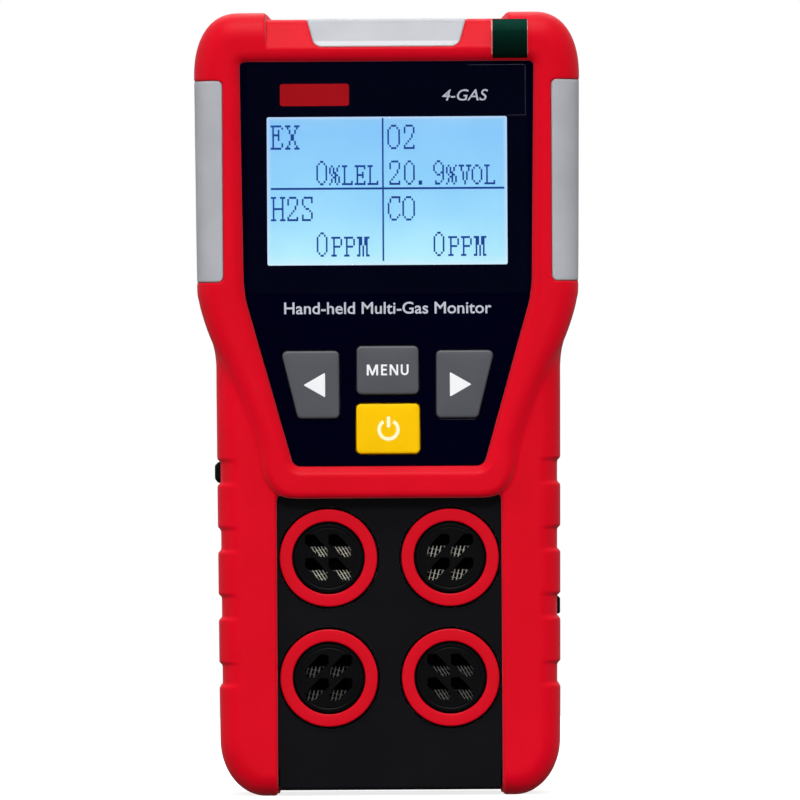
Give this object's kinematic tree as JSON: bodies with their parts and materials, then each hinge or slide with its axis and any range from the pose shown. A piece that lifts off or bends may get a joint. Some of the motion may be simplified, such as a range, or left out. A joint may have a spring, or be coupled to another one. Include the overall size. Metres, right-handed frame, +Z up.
{
  "type": "portable gas detector",
  "caption": "Hand-held multi-gas detector: black casing in a red rubber skin, dot-matrix display, soft keys, round sensor ports, alarm light windows and a sprung belt clip.",
  "frame": {"origin": "centre of the bounding box in X and Y, on the plane of the two bottom bumpers that it stands on", "axes": "+Z up along the instrument, the display faces -Y, +X is to the right of a person reading the display"},
  "size_m": [0.0748, 0.0456, 0.152],
  "materials": {
    "red_rubber": "matte, fine texture",
    "black_plastic": "fine texture",
    "black_lens": "gloss",
    "grey_key": "matte",
    "yellow_key": "matte",
    "diffuser": "translucent satin",
    "lcd": "backlit",
    "white_plastic": "satin",
    "circuit_board": "solder mask",
    "steel": "satin",
    "black_rubber": "matte",
    "blue_wrap": "shrink film",
    "label": "satin",
    "green_tab": "smooth",
    "clear_film": "clear"
  },
  "bodies": {
    "instrument": {"front_overmould": "red_rubber", "rear_overmould": "red_rubber", "front_housing": "black_plastic", "rear_housing": "black_plastic", "lens_panel": "black_lens", "tact_switch_left": "steel", "tact_switch_right": "steel", "tact_switch_menu": "steel", "tact_switch_power": "steel", "light_window_left": "diffuser", "light_window_right": "diffuser", "light_bar_top": "diffuser", "lcd_glass": "lcd", "lcd_backlight": "white_plastic", "main_pcb": "circuit_board", "battery_pack": "blue_wrap", "vibration_motor": "steel", "buzzer": "black_plastic", "alarm_led_top": "white_plastic", "alarm_led_left": "white_plastic", "alarm_led_right": "white_plastic", "usb_port": "steel", "charge_board": "circuit_board", "sensor_pcb": "circuit_board", "ribbon_cable": "label", "sensor_ring_combustible": "red_rubber", "sensor_ring_oxygen": "red_rubber", "sensor_ring_hydrogen_sulphide": "red_rubber", "sensor_ring_carbon_monoxide": "red_rubber", "dust_filter_combustible": "steel", "dust_filter_oxygen": "steel", "dust_filter_hydrogen_sulphide": "steel", "dust_filter_carbon_monoxide": "steel", "sensor_combustible": "white_plastic", "sensor_oxygen": "white_plastic", "sensor_hydrogen_sulphide": "white_plastic", "sensor_carbon_monoxide": "white_plastic", "housing_seal": "black_rubber", "rating_label": "label", "clip_bracket": "black_plastic", "clip_pin": "steel", "clip_spring": "steel", "clip_screw_1": "steel", "clip_screw_2": "steel", "buzzer_grille": "black_plastic", "display_film": "clear_film", "film_pull_tab": "green_tab", "case_screw_1": "steel", "case_screw_2": "steel", "case_screw_3": "steel", "case_screw_4": "steel", "case_screw_5": "steel", "case_screw_6": "steel"},
    "key_left": {"key_left": "grey_key"},
    "key_right": {"key_right": "grey_key"},
    "key_menu": {"key_menu": "grey_key"},
    "key_power": {"key_power": "yellow_key"},
    "port_flap": {"port_flap": "black_rubber"},
    "clip_arm": {"clip_arm": "black_plastic"}
  },
  "joints": [
    {"name": "press_left", "type": "slide", "parent": "instrument", "child": "key_left", "axis": [0, 1, 0], "range_m": [0, 0.0008], "stiffness_N_per_m": 1500, "springref_m": -0.0005},
    {"name": "press_right", "type": "slide", "parent": "instrument", "child": "key_right", "axis": [0, 1, 0], "range_m": [0, 0.0008], "stiffness_N_per_m": 1500, "springref_m": -0.0005},
    {"name": "press_menu", "type": "slide", "parent": "instrument", "child": "key_menu", "axis": [0, 1, 0], "range_m": [0, 0.0008], "stiffness_N_per_m": 1500, "springref_m": -0.0005},
    {"name": "press_power", "type": "slide", "parent": "instrument", "child": "key_power", "axis": [0, 1, 0], "range_m": [0, 0.0008], "stiffness_N_per_m": 1500, "springref_m": -0.0005},
    {"name": "open_port_flap", "type": "hinge", "parent": "instrument", "child": "port_flap", "pos_m": [-0.0333, -0.00568, 0.06285], "axis": [0, 0, -1], "range_deg": [0, 100], "stiffness_Nm_per_rad": 0.0015, "springref_deg": -5.73},
    {"name": "open_belt_clip", "type": "hinge", "parent": "instrument", "child": "clip_arm", "pos_m": [0, 0.01783, 0.105], "axis": [1, 0, 0], "range_deg": [0, 15], "stiffness_Nm_per_rad": 0.3, "springref_deg": -20.05}
  ]
}
